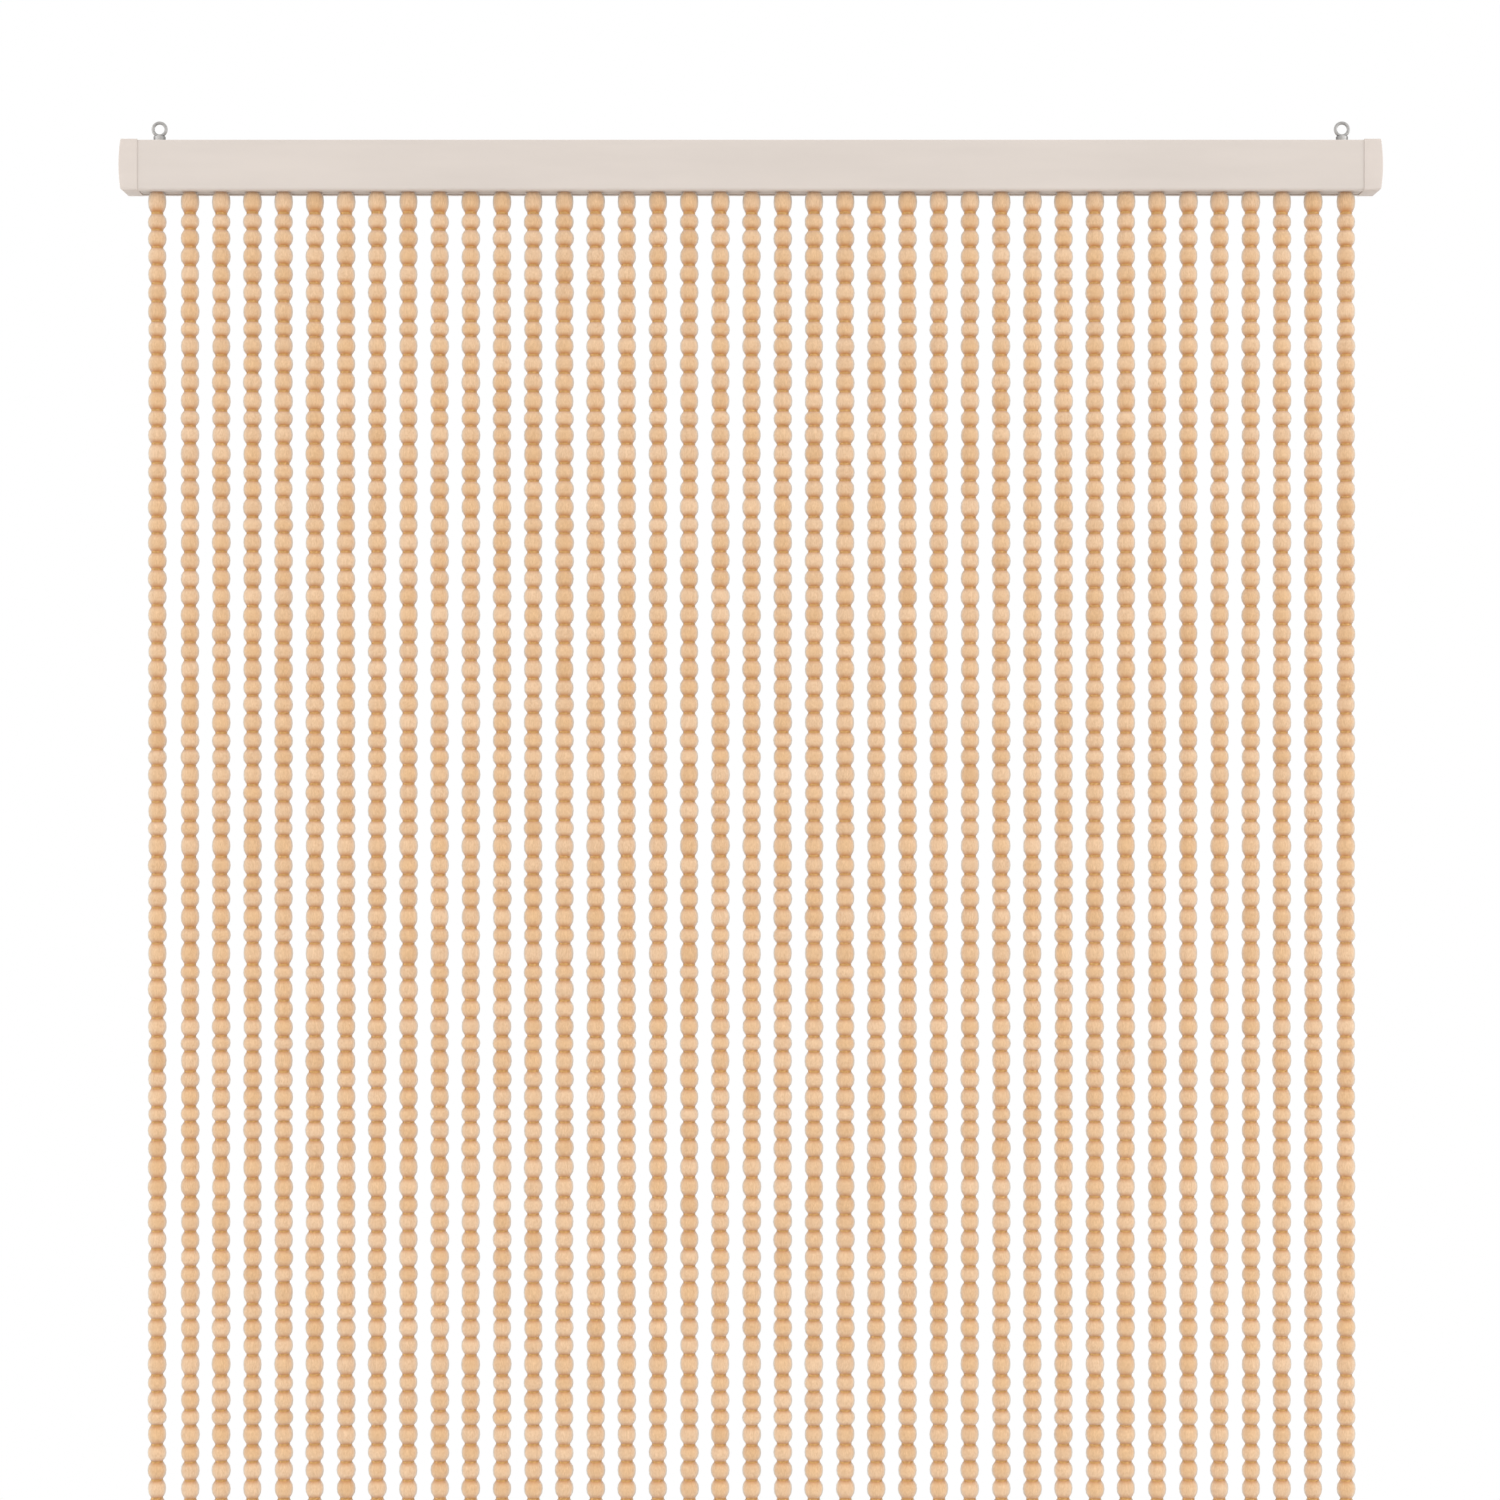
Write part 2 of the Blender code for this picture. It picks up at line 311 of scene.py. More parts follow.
class CurtainEyeSettings(bpy.types.PropertyGroup):
    """Sizes and colour of the hanging eyes."""

    wire: length_property("Wire", "Diameter of the eye's wire", 0.0023)
    shank: length_property("Shank", "Diameter of the eye's shank", 0.0024)
    collar: length_property("Collar", "Diameter of the collar under the ring", 0.0086)
    collar_height: length_property("Collar Height", "From the rail to the collar's top", 0.0048)
    chamfer: length_property("Chamfer", "Chamfer at the collar's upper edge", 0.0005)
    steel: colour_property("Steel", "Zinc-plated steel", (0.405, 0.400, 0.394))


class CurtainStageSettings(bpy.types.PropertyGroup):
    """Camera, floor and lights."""

    distance: length_property("Distance", "From the camera to the rail's front face", 2.05)
    ambient: bpy.props.FloatProperty(
        name="Ambient", description="Strength of the soft light all round", default=0.90, min=0.0
    )
    left: power_property("Left Light", "Power of the large left light", 46.0)
    right: power_property("Right Light", "Power of the large right light", 54.0)
    back: power_property("Back Light", "Power of the light behind", 14.0)


class CurtainSettings(bpy.types.PropertyGroup):
    """All settings of the fly curtain."""

    strings: bpy.props.PointerProperty(type=CurtainStringSettings)
    rail: bpy.props.PointerProperty(type=CurtainRailSettings)
    eyes: bpy.props.PointerProperty(type=CurtainEyeSettings)
    stage: bpy.props.PointerProperty(type=CurtainStageSettings)


class Net:
    """Lays nodes in a tree. An input takes a plain value, a node or one of its outputs."""

    def __init__(self, tree):
        self.tree = tree

    def add(self, kind, inputs=None, **settings):
        node = self.tree.nodes.new(kind)
        node.location.x = NODE_SPACING * len(self.tree.nodes)
        for name, value in settings.items():
            setattr(node, name, value)
        for key, value in (inputs or {}).items():
            self.feed(node.inputs[key], value)
        return node

    def feed(self, socket, value):
        if isinstance(value, bpy.types.Node):
            value = value.outputs[0]
        if isinstance(value, bpy.types.NodeSocket):
            self.tree.links.new(value, socket)
        else:
            socket.default_value = value

    def maths(self, operation, *values):
        node = self.add("ShaderNodeMath", operation=operation)
        for socket, value in zip(node.inputs, values):
            self.feed(socket, value)
        return node.outputs[0]

    def times(self, first, second):
        return self.maths("MULTIPLY", first, second)

    def plus(self, first, second):
        return self.maths("ADD", first, second)

    def minus(self, first, second):
        return self.maths("SUBTRACT", first, second)

    def over(self, first, second):
        return self.maths("DIVIDE", first, second)

    def vector(self, x=0.0, y=0.0, z=0.0):
        return self.add("ShaderNodeCombineXYZ", {"X": x, "Y": y, "Z": z}).outputs[0]

    def vector_maths(self, operation, *values):
        node = self.add("ShaderNodeVectorMath", operation=operation)
        for socket, value in zip(node.inputs, values):
            self.feed(socket, value)
        return node.outputs[0]

    def noise(self, vector, scale=1.0, detail=2.0, roughness=0.5):
        sizes = {"Vector": vector, "Scale": scale, "Detail": detail, "Roughness": roughness}
        return self.add("ShaderNodeTexNoise", sizes).outputs["Fac"]

    def blend(self, share, first, second):
        """Mixes two colours, through the Mix node's colour sockets, which share their names."""
        node = self.add("ShaderNodeMix", data_type="RGBA")
        for index, value in ((0, share), (6, first), (7, second)):
            self.feed(node.inputs[index], value)
        return node.outputs[2]

    def ramp(self, value, low, high):
        """The share of the way from low to high, held between 0 and 1."""
        sizes = {"Value": value, "From Min": low, "From Max": high}
        return self.add("ShaderNodeMapRange", sizes, clamp=True).outputs[0]

    def bump(self, height, strength, distance):
        sizes = {"Height": height, "Strength": strength, "Distance": distance}
        return self.add("ShaderNodeBump", sizes).outputs[0]


def rgba(colour, share=1.0):
    """A colour as a socket takes it, made deeper or paler by a share."""
    return (*(min(1.0, share * channel) for channel in colour), 1.0)


def new_material(name, **sockets):
    """A material with its net and its Principled shader, whose plain sockets are given."""
    material = bpy.data.materials.new(name)
    material.use_nodes = True
    shader = material.node_tree.nodes["Principled BSDF"]
    for key, value in sockets.items():
        shader.inputs[key.replace("_", " ")].default_value = value
    return material, Net(material.node_tree), shader


def round_cells(net):
    """Reads a bead's cell of the pattern map.

    Gives the cell's column and row, the direction around the string as cosine and sine, so
    that a pattern made from them has no seam, the share of the way down the cell, and the
    angle around the string.
    """
    place = net.add("ShaderNodeUVMap", uv_map=CELL_MAP)
    scaled = net.vector_maths("MULTIPLY", place, (CELL_COLUMNS, CELL_ROWS, 0.0))
    cell = net.vector_maths("FLOOR", scaled)
    local = net.add("ShaderNodeSeparateXYZ", {"Vector": net.vector_maths("FRACTION", scaled)})
    turn = net.times(net.minus(local.outputs["X"], CELL_MARGIN_U), math.tau / CELL_SPAN_U)
    down = net.over(net.minus(local.outputs["Y"], CELL_MARGIN_V), CELL_SPAN_V)
    return cell, net.maths("COSINE", turn), net.maths("SINE", turn), down, turn


def round_vector(net, cell, across, deep, down, size):
    """A place on a cylinder of that radius and run, in space of its own for each cell."""
    radius, run = size
    place = net.vector(net.times(across, radius), net.times(deep, radius), net.times(down, run))
    apart = net.vector_maths("MULTIPLY", cell, CELL_APART)
    return net.vector_maths("ADD", place, apart)


def yarn_material(strings):
    """Parallel yarn: fine lengthwise fibres, dark flecks of painted shadow, beads that differ a
    little, and a darker tone towards the bindings that is partly the yarn's deeper colour where it
    is drawn in and partly painted shade in the crease and under the bead.
    """
    material, net, shader = new_material(
        "bound_yarn", Roughness=0.88, Specular_IOR_Level=0.25,
        Sheen_Weight=1.0, Sheen_Roughness=0.55, Sheen_Tint=(0.72, 0.92, 1.0, 1.0),
    )
    cell, across, deep, down, _ = round_cells(net)
    fine_place = round_vector(net, cell, across, deep, down, FIBRE_SIZE)
    fine = net.noise(fine_place, detail=2.0, roughness=0.6)
    streak = net.noise(round_vector(net, cell, across, deep, down, STREAK_SIZE), detail=1.0)
    fleck = net.noise(round_vector(net, cell, deep, across, down, FLECK_SIZE), detail=1.0)
    draw = net.add("ShaderNodeTexWhiteNoise", {"Vector": cell}, noise_dimensions="3D")
    draws = net.add("ShaderNodeSeparateColor", {"Color": draw.outputs["Color"]}).outputs
    # Distance from the palest place, which sits above the middle, so that the lower end takes more
    # painted shade
    halves_down = net.times(net.over(down, BEAD_SHARE_V), 2.0)
    ends = net.maths("ABSOLUTE", net.minus(halves_down, PALEST_PLACE))

    # Light and dark fibres, paler or deeper and cooler or warmer from bead to bead
    fibres = net.ramp(fine, low=0.36, high=0.64)
    light = net.plus(fibres, net.times(streak, STREAK_WEIGHT))
    light = net.plus(light, net.times(draws["Red"], BEAD_TONE_WEIGHT))
    light = net.ramp(light, low=0.05, high=1.95)
    tones = net.blend(light, rgba(strings.yarn_dark), rgba(strings.yarn_light))
    tint = net.blend(draws["Green"], rgba((1.0, 1.0, 1.0)), rgba(strings.yarn_warmth))
    tones = net.vector_maths("MULTIPLY", tones, tint)

    # Painted shade: flecks of shadow between the fibres, and a darker tone towards each binding,
    # partly the yarn's deeper colour where it is drawn in and partly painted shade in the crease,
    # more at the bead's lower end
    more = net.times(net.ramp(ends, low=0.45, high=1.0), FLECK_MORE_AT_ENDS)
    reach = net.minus(FLECK_LEVEL, more)
    depth = net.ramp(net.minus(fleck, reach), low=-0.02, high=0.07)
    shadow = net.times(depth, FLECK_DEPTH)
    tones = net.blend(shadow, tones, rgba(strings.gathered_yarn_and_shade))
    gathered_and_shaded = net.maths("POWER", net.ramp(ends, low=0.40, high=1.0), GATHER_AND_SHADE_POWER)
    tones = net.blend(gathered_and_shaded, tones, rgba(strings.gathered_yarn_and_shade))
    net.feed(shader.inputs["Base Color"], tones)
    relief = net.minus(fine, net.times(depth, FLECK_RELIEF))
    net.feed(shader.inputs["Normal"], net.bump(relief, strength=0.6, distance=0.0003))
    return material


def thread_material(strings):
    """Gold thread: turns side by side, with painted shade between them and short painted glints
    along them.
    """
    material, net, shader = new_material("gold_thread", Roughness=0.35, Metallic=0.55)
    cell, across, deep, down, turn = round_cells(net)
    share = net.over(net.minus(down, BEAD_SHARE_V), 1.0 - BEAD_SHARE_V)
    lay = net.plus(net.times(share, THREAD_TURNS * math.pi), net.times(turn, THREAD_SLANT))
    # Painted shade between the turns and painted glints along their tops; the ridges are also bumps
    ridge = net.maths("ABSOLUTE", net.maths("SINE", lay))
    painted_glint = net.noise(round_vector(net, cell, across, deep, down, PAINTED_GLINT_SIZE), detail=1.0)
    light = net.times(ridge, net.ramp(painted_glint, low=0.20, high=0.55))
    light = net.ramp(light, low=0.0, high=0.55)
    tones = net.blend(light, rgba(strings.thread_painted_shade), rgba(strings.thread_painted_highlight))
    net.feed(shader.inputs["Base Color"], tones)
    net.feed(shader.inputs["Normal"], net.bump(ridge, strength=0.5, distance=0.0002))
    return material


def lacquer_material(name, colour, roughness, grain):
    """Cream lacquer or moulded plastic: a barely uneven tone and a fine grain."""
    material, net, shader = new_material(name, Roughness=roughness)
    place = net.add("ShaderNodeTexCoord").outputs["Object"]
    cloud = net.noise(net.vector_maths("MULTIPLY", place, LACQUER_CLOUD), detail=3.0)
    cloud = net.ramp(cloud, low=0.30, high=0.70)
    tones = net.blend(cloud, rgba(colour, LACQUER_DEEP), rgba(colour, LACQUER_PALE))
    net.feed(shader.inputs["Base Color"], tones)
    speck = net.noise(place, scale=grain)
    net.feed(shader.inputs["Normal"], net.bump(speck, strength=0.12, distance=0.0002))
    return material


def steel_material(eyes):
    """Zinc-plated wire: dull bright metal, drawn lines and spots. The collar has a painted
    highlight down its middle and painted shade at its sides.
    """
    material, net, shader = new_material("eye_steel", Roughness=0.50, Metallic=0.65)
    place = net.add("ShaderNodeTexCoord").outputs["Object"]
    spots = net.ramp(net.noise(place, scale=STEEL_SPOTS), low=0.32, high=0.6)
    tones = net.blend(spots, rgba(eyes.steel, STEEL_DEEP), rgba(eyes.steel, STEEL_PALE))
    spot = net.add("ShaderNodeSeparateXYZ", {"Vector": place}).outputs
    # Painted light on the collar: a highlight down its middle and shade towards its sides, faded in
    # below the collar's top
    top = RAIL_HIGH.z + eyes.collar_height
    foot = net.ramp(spot["Z"], low=top + COLLAR_BLEND_ABOVE, high=top - COLLAR_BLEND_BELOW)
    side = net.minus(net.maths("ABSOLUTE", spot["X"]), EYE_X)
    side = net.ramp(net.maths("ABSOLUTE", side), low=COLLAR_MIDDLE, high=COLLAR_SIDE)
    collar = net.blend(side, rgba(eyes.steel, COLLAR_PAINTED_HIGHLIGHT), rgba(eyes.steel, COLLAR_PAINTED_SHADE))
    net.feed(shader.inputs["Base Color"], net.blend(foot, tones, collar))
    drawn = net.noise(net.vector_maths("MULTIPLY", place, STEEL_LINES), detail=1.0)
    net.feed(shader.inputs["Normal"], net.bump(drawn, strength=0.08, distance=0.0001))
    return material


def floor_material():
    """A pale floor with a faint cloudy tone."""
    material, net, shader = new_material("pale_floor", Roughness=0.8)
    place = net.add("ShaderNodeTexCoord").outputs["Object"]
    cloud = net.noise(place, scale=3.0, detail=3.0)
    net.feed(shader.inputs["Base Color"], net.blend(cloud, rgba(FLOOR_DEEP), rgba(FLOOR_PALE)))
    return material


def add_piece(name, mesh, materials, replaced):
    """Links a finished mesh, which rides on the curtain's body and stands for its solid."""
    for material in materials:
        mesh.materials.append(material)
    piece = bpy.data.objects.new(name, mesh)
    bpy.context.scene.collection.objects.link(piece)
    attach(piece, BODY)
    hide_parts(*replaced)


def plain_mesh(obj):
    """An object's mesh with its modifiers and its place applied. The object is removed."""
    graph = bpy.context.evaluated_depsgraph_get()
    mesh = bpy.data.meshes.new_from_object(obj.evaluated_get(graph))
    mesh.transform(obj.matrix_world)
    bpy.data.objects.remove(obj)
    return mesh


def scratch_object(name, data):
    """A working object, for modifiers."""
    obj = bpy.data.objects.new(name, data)
    bpy.context.scene.collection.objects.link(obj)
    return obj


def tidy_mesh(mesh, sharp_degrees):
    """Merges doubles, points the faces outwards, and shades smooth but for sharp edges."""
    bm = bmesh.new()
    bm.from_mesh(mesh)
    bmesh.ops.remove_doubles(bm, verts=bm.verts, dist=MERGE_DISTANCE)
    bmesh.ops.recalc_face_normals(bm, faces=bm.faces)
    bm.to_mesh(mesh)
    bm.free()
    mesh.shade_smooth()
    mesh.set_sharp_from_angle(angle=math.radians(sharp_degrees))
    return mesh


def mesh_from(bm, name):
    """Turns a working mesh into a named one."""
    mesh = bpy.data.meshes.new(name)
    bm.to_mesh(mesh)
    bm.free()
    return mesh


def box_mesh(name, low, high):
    """A box between two corners."""
    bm = bmesh.new()
    bmesh.ops.create_cube(bm, size=1.0)
    for vert in bm.verts:
        vert.co = [a + (c + 0.5) * (b - a) for a, b, c in zip(low, high, vert.co)]
    return mesh_from(bm, name)


def corner(x, y, radius, start):
    """A quarter round of an outline, about a centre, from a start angle in quarter turns."""
    steps = range(CORNER_STEPS + 1)
    turns = [(start + step / CORNER_STEPS) * math.pi / 2 for step in steps]
    return [(x + radius * math.cos(turn), y + radius * math.sin(turn)) for turn in turns]


def extruded_mesh(name, outline, half_length):
    """A closed section of Y and Z, extruded along X and capped at both ends."""
    bm = bmesh.new()
    ring = [bm.verts.new((-half_length, y, z)) for y, z in outline]
    face = bm.faces.new(ring)
    moved = bmesh.ops.extrude_face_region(bm, geom=[face])["geom"]
    ends = [item for item in moved if isinstance(item, bmesh.types.BMVert)]
    bmesh.ops.translate(bm, verts=ends, vec=(2.0 * half_length, 0.0, 0.0))
    return mesh_from(bm, name)


def combine(obj, tool, operation):
    """Takes a tool's shape away from a working object, or joins it on."""
    modifier = obj.modifiers.new(tool.name, "BOOLEAN")
    modifier.operation = operation
    modifier.object = tool


def rail_outline():
    """The rail's C section: round outside, square inside, open below at the slot."""
    half, top, low = RAIL_HIGH.y, RAIL_HIGH.z, RAIL_LOW.z
    inner, lip = half - RAIL_WALL, SLOT_WIDTH / 2
    ceiling, lip_top = top - RAIL_WALL, low + RAIL_WALL
    upper, lower = RAIL_TOP_RADIUS, RAIL_BOTTOM_RADIUS
    return (
        corner(half - lower, low + lower, lower, 3)
        + corner(half - upper, top - upper, upper, 0)
        + corner(upper - half, top - upper, upper, 1)
        + corner(lower - half, low + lower, lower, 2)
        + [(-lip, low), (-lip, lip_top), (-inner, lip_top), (-inner, ceiling)]
        + [(inner, ceiling), (inner, lip_top), (lip, lip_top), (lip, low)]
    )


class CURTAIN_OT_rail(bpy.types.Operator):
    """Build the lacquered header rail, with a hole for each eye's shank"""

    bl_idname = "curtain.rail"
    bl_label = "Header Rail"

    def execute(self, context):
        settings = context.scene.fly_curtain
        shell = extruded_mesh("rail_shell", rail_outline(), CAP_SEAM - SEAM)
        rail = scratch_object("rail_work", shell)
        bore = settings.eyes.shank / 2 + GAP
        tools = []
        for side, sign in SIDES.items():
            bm = bmesh.new()
            bmesh.ops.create_cone(
                bm, cap_ends=True, segments=BORE_SEGMENTS,
                radius1=bore, radius2=bore, depth=4.0 * RAIL_WALL,
            )
            tool = scratch_object(f"bore_{side}", mesh_from(bm, "bore"))
            tool.location = (sign * EYE_X, 0.0, RAIL_HIGH.z - RAIL_WALL / 2)
            combine(rail, tool, "DIFFERENCE")
            tools.append(tool)
        context.view_layer.update()
        mesh = tidy_mesh(plain_mesh(rail), SHARP_ANGLE)
        for tool in tools:
            bpy.data.objects.remove(tool)
        lacquer = lacquer_material(
            "rail_lacquer", settings.rail.lacquer, roughness=0.42, grain=1600.0
        )
        add_piece("rail_shell", mesh, [lacquer], ["rail"])
        return {"FINISHED"}


def cap_mesh(rail_settings):
    """The +X end cap: a rounded block whose outer face is domed in height, and a tongue."""
    tongue_y = RAIL_HIGH.y - RAIL_WALL - GAP
    tongue_high = RAIL_HIGH.z - RAIL_WALL - GAP
    tongue_low = RAIL_LOW.z + RAIL_WALL + FLANGE_THICKNESS + 2 * GAP
    rim = CAP_HIGH.x - rail_settings.cap_bulge
    low, high = (CAP_SEAM, CAP_LOW.y, RAIL_LOW.z), (rim, CAP_HIGH.y, CAP_HIGH.z)
    centre_z, half_z = (CAP_HIGH.z + RAIL_LOW.z) / 2, (CAP_HIGH.z - RAIL_LOW.z) / 2
    bm = bmesh.new()
    bm.from_mesh(box_mesh("cap_block", low, high))
    outer = max(bm.faces, key=lambda face: face.calc_center_median().x)
    upright = [edge for edge in outer.edges if edge.verts[0].co.y == edge.verts[1].co.y]
    bmesh.ops.subdivide_edges(bm, edges=upright, cuts=DOME_CUTS)
    for vert in bm.verts:
        if vert.co.x > (CAP_SEAM + rim) / 2:
            level = (vert.co.z - centre_z) / half_z
            vert.co.x += rail_settings.cap_bulge * (1 - level**2)
    weights = bm.edges.layers.float.new("bevel_weight_edge")
    for edge in bm.edges:
        first, second = (vert.co for vert in edge.verts)
        if edge.calc_face_angle() < math.radians(CAP_FLAT_ANGLE):
            edge[weights] = 0.0
        elif max(first.x, second.x) < CAP_SEAM + GAP:
            edge[weights] = CAP_SEAM_EDGE
        elif max(first.z, second.z) < RAIL_LOW.z + GAP:
            edge[weights] = 1.0
        else:
            edge[weights] = CAP_UPPER_EDGE
    cap = scratch_object("cap_work", mesh_from(bm, "end_cap"))
    bevel = cap.modifiers.new("round_edges", "BEVEL")
    bevel.width = rail_settings.cap_radius
    bevel.segments = CAP_EDGE_SEGMENTS
    bevel.limit_method = "WEIGHT"
    low, high = (CAP_LOW.x, -tongue_y, tongue_low), (CAP_SEAM + GAP, tongue_y, tongue_high)
    tongue = scratch_object("tongue_work", box_mesh("tongue", low, high))
    combine(cap, tongue, "UNION")
    bpy.context.view_layer.update()
    mesh = tidy_mesh(plain_mesh(cap), SHARP_ANGLE)
    bpy.data.objects.remove(tongue)
    return mesh


class CURTAIN_OT_end_caps(bpy.types.Operator):
    """Build the two moulded end caps that plug into the rail"""

    bl_idname = "curtain.end_caps"
    bl_label = "End Caps"

    def execute(self, context):
        settings = context.scene.fly_curtain.rail
        plastic = lacquer_material("cap_plastic", settings.cap, roughness=0.48, grain=2400.0)
        right = cap_mesh(settings)
        left = right.copy()
        left.transform(Matrix.Rotation(math.pi, 4, "Z"))
        for side, mesh in (("left", left), ("right", right)):
            add_piece(f"cap_shell_{side}", mesh, [plastic], [f"end_cap_{side}"])
        return {"FINISHED"}


class CURTAIN_OT_backing_strip(bpy.types.Operator):
    """Build the moulded strip that lies in the rail's slot and carries the strings"""

    bl_idname = "curtain.backing_strip"
    bl_label = "Backing Strip"

    def execute(self, context):
        settings = context.scene.fly_curtain.rail
        flange, web = FLANGE_WIDTH / 2, SLOT_WIDTH / 2 - GAP
        low = RAIL_LOW.z + RAIL_WALL + GAP
        high = low + FLANGE_THICKNESS
        web_low = RAIL_LOW.z + STRIP_RECESS
        outline = [(-flange, high), (-flange, low), (-web, low), (-web, web_low)]
        outline += [(-y, z) for y, z in reversed(outline)]
        mesh = extruded_mesh("backing_strip", outline, STRINGS_HIGH.x)
        mesh = tidy_mesh(mesh, SHARP_ANGLE)
        # The strip's deeper colour is painted shade in the slot
        plastic = lacquer_material("strip_plastic", settings.strip, roughness=0.55, grain=2400.0)
        add_piece("backing_strip", mesh, [plastic], ["bead_strings"])
        return {"FINISHED"}


TREE_INPUTS = {
    "Place": ("NodeSocketFloat", "Where the string hangs, along the rail"),
    "Top": ("NodeSocketFloat", "Height at which the first bead would begin, were it not longer"),
    "First Bead": ("NodeSocketFloat", "How much longer the first bead is"),
    "Hem": ("NodeSocketFloat", "Height of the last binding's lower edge"),
    "Beads": ("NodeSocketInt", "How many beads the string has"),
    "Bead Width": ("NodeSocketFloat", "Diameter of a bead at its widest"),
    "Binding Height": ("NodeSocketFloat", "Height of a gold thread binding"),
    "Step": ("NodeSocketFloat", "How far a binding strays, in step on all strings"),
    "Jitter": ("NodeSocketFloat", "How far a binding strays on this string alone"),
    "Girth": ("NodeSocketFloat", "How much the beads differ in width"),
    "Sway": ("NodeSocketFloat", "How far the string strays sideways"),
    "Phase": ("NodeSocketFloat", "Where the string's sway begins"),
    "Sides": ("NodeSocketInt", "Facets around the string"),
    "Seed": ("NodeSocketInt", "Seed of the random draws"),
    "Yarn": ("NodeSocketMaterial", "Material of the beads"),
    "Thread": ("NodeSocketMaterial", "Material of the bindings"),
}


def random_value(net, low, high, item, seed):
    """A random value for each item, through the node's float sockets."""
    node = net.add("FunctionNodeRandomValue", {"ID": item, "Seed": seed}, data_type="FLOAT")
    net.feed(node.inputs[2], low)
    net.feed(node.inputs[3], high)
    return node.outputs[1]


def binding_stray(net, given, item):
    """How far a binding strays along its string: partly with its neighbours, partly alone."""
    with_all = random_value(net, -1.0, 1.0, item, STEP_SEED)
    alone = random_value(net, -1.0, 1.0, item, given["Seed"])
    return net.plus(net.times(with_all, given["Step"]), net.times(alone, given["Jitter"]))


def capture(net, geometry, domain, **fields):
    """Keeps fields on a geometry, and gives it back with the kept values."""
    node = net.add("GeometryNodeCaptureAttribute", domain=domain)
    for name in fields:
        node.capture_items.new("FLOAT", name)
    net.feed(node.inputs["Geometry"], geometry)
    for name, value in fields.items():
        net.feed(node.inputs[name], value)
    return node.outputs["Geometry"], [node.outputs[name] for name in fields]


def bead_outline(net, share, neck):
    """A bead's half width at a share of its length, as a share of the widest."""
    node = net.add("ShaderNodeFloatCurve", {"Value": share})
    points = node.mapping.curves[0].points
    for place, width in BEAD_OUTLINE:
        points.new(place, width)
    points[0].location = (0.0, neck)
    points[len(points) - 1].location = (1.0, neck)
    for point in points:
        point.handle_type = "VECTOR"
    node.mapping.update()
    return node.outputs[0]


def unit_mesh(net, given, pitch, neck):
    """One bead and the binding below it: a tube one unit long, open at both ends.

    Gives its mesh, the share of the way around and down its cell, and the share of the way
    down the bead alone.
    """
    bands = BEAD_BANDS + BINDING_BANDS
    line = net.add("GeometryNodeCurvePrimitiveLine", {"End": (0.0, 0.0, -1.0)})
    path = net.add("GeometryNodeResampleCurve", {"Curve": line, "Count": bands + 1})
    step = net.add("GeometryNodeInputIndex").outputs[0]

    # The bead's bands are lower towards its ends, and the binding's bands follow below it
    turn = net.maths("MINIMUM", net.over(step, BEAD_BANDS), 1.0)
    cosine = net.maths("COSINE", net.times(turn, math.pi))
    bead = net.minus(0.5, net.times(cosine, 0.5))
    past = net.minus(step, BEAD_BANDS)
    past = net.over(net.maths("MAXIMUM", past, 0.0), BINDING_BANDS)
    down = net.plus(net.times(bead, BEAD_SHARE_V), net.times(past, 1.0 - BEAD_SHARE_V))
    kept, (bead, past, down) = capture(net, path, "POINT", bead=bead, past=past, down=down)

    # Each band's height and half width
    binding = net.over(given["Binding Height"], pitch)
    drop = net.plus(net.times(bead, net.minus(1.0, binding)), net.times(past, binding))
    place = net.vector(z=net.times(drop, -1.0))
    path = net.add("GeometryNodeSetPosition", {"Geometry": kept, "Position": place})
    waist = net.times(net.maths("SINE", net.times(past, math.pi)), BINDING_WAIST)
    width = net.times(bead_outline(net, bead, neck), net.minus(1.0, waist))
    radius = net.times(width, net.times(given["Bead Width"], 0.5))

    # The ring is an arc that ends where it begins, so that the pattern map has a seam there
    count = net.plus(given["Sides"], 1.0)
    arc = net.add("GeometryNodeCurveArc", {"Resolution": count, "Radius": 1.0}, mode="RADIUS")
    half_step = net.over(math.pi, given["Sides"])
    net.feed(arc.inputs["Start Angle"], net.minus(math.pi / 2, half_step))
    arc.inputs["Sweep Angle"].default_value = math.tau
    factor = net.add("GeometryNodeSplineParameter").outputs["Factor"]
    ring, (around,) = capture(net, arc, "POINT", around=factor)
    tube = net.add("GeometryNodeCurveToMesh", {"Curve": path, "Profile Curve": ring})
    net.feed(tube.inputs["Scale"], radius)
    return tube.outputs[0], around, down, bead


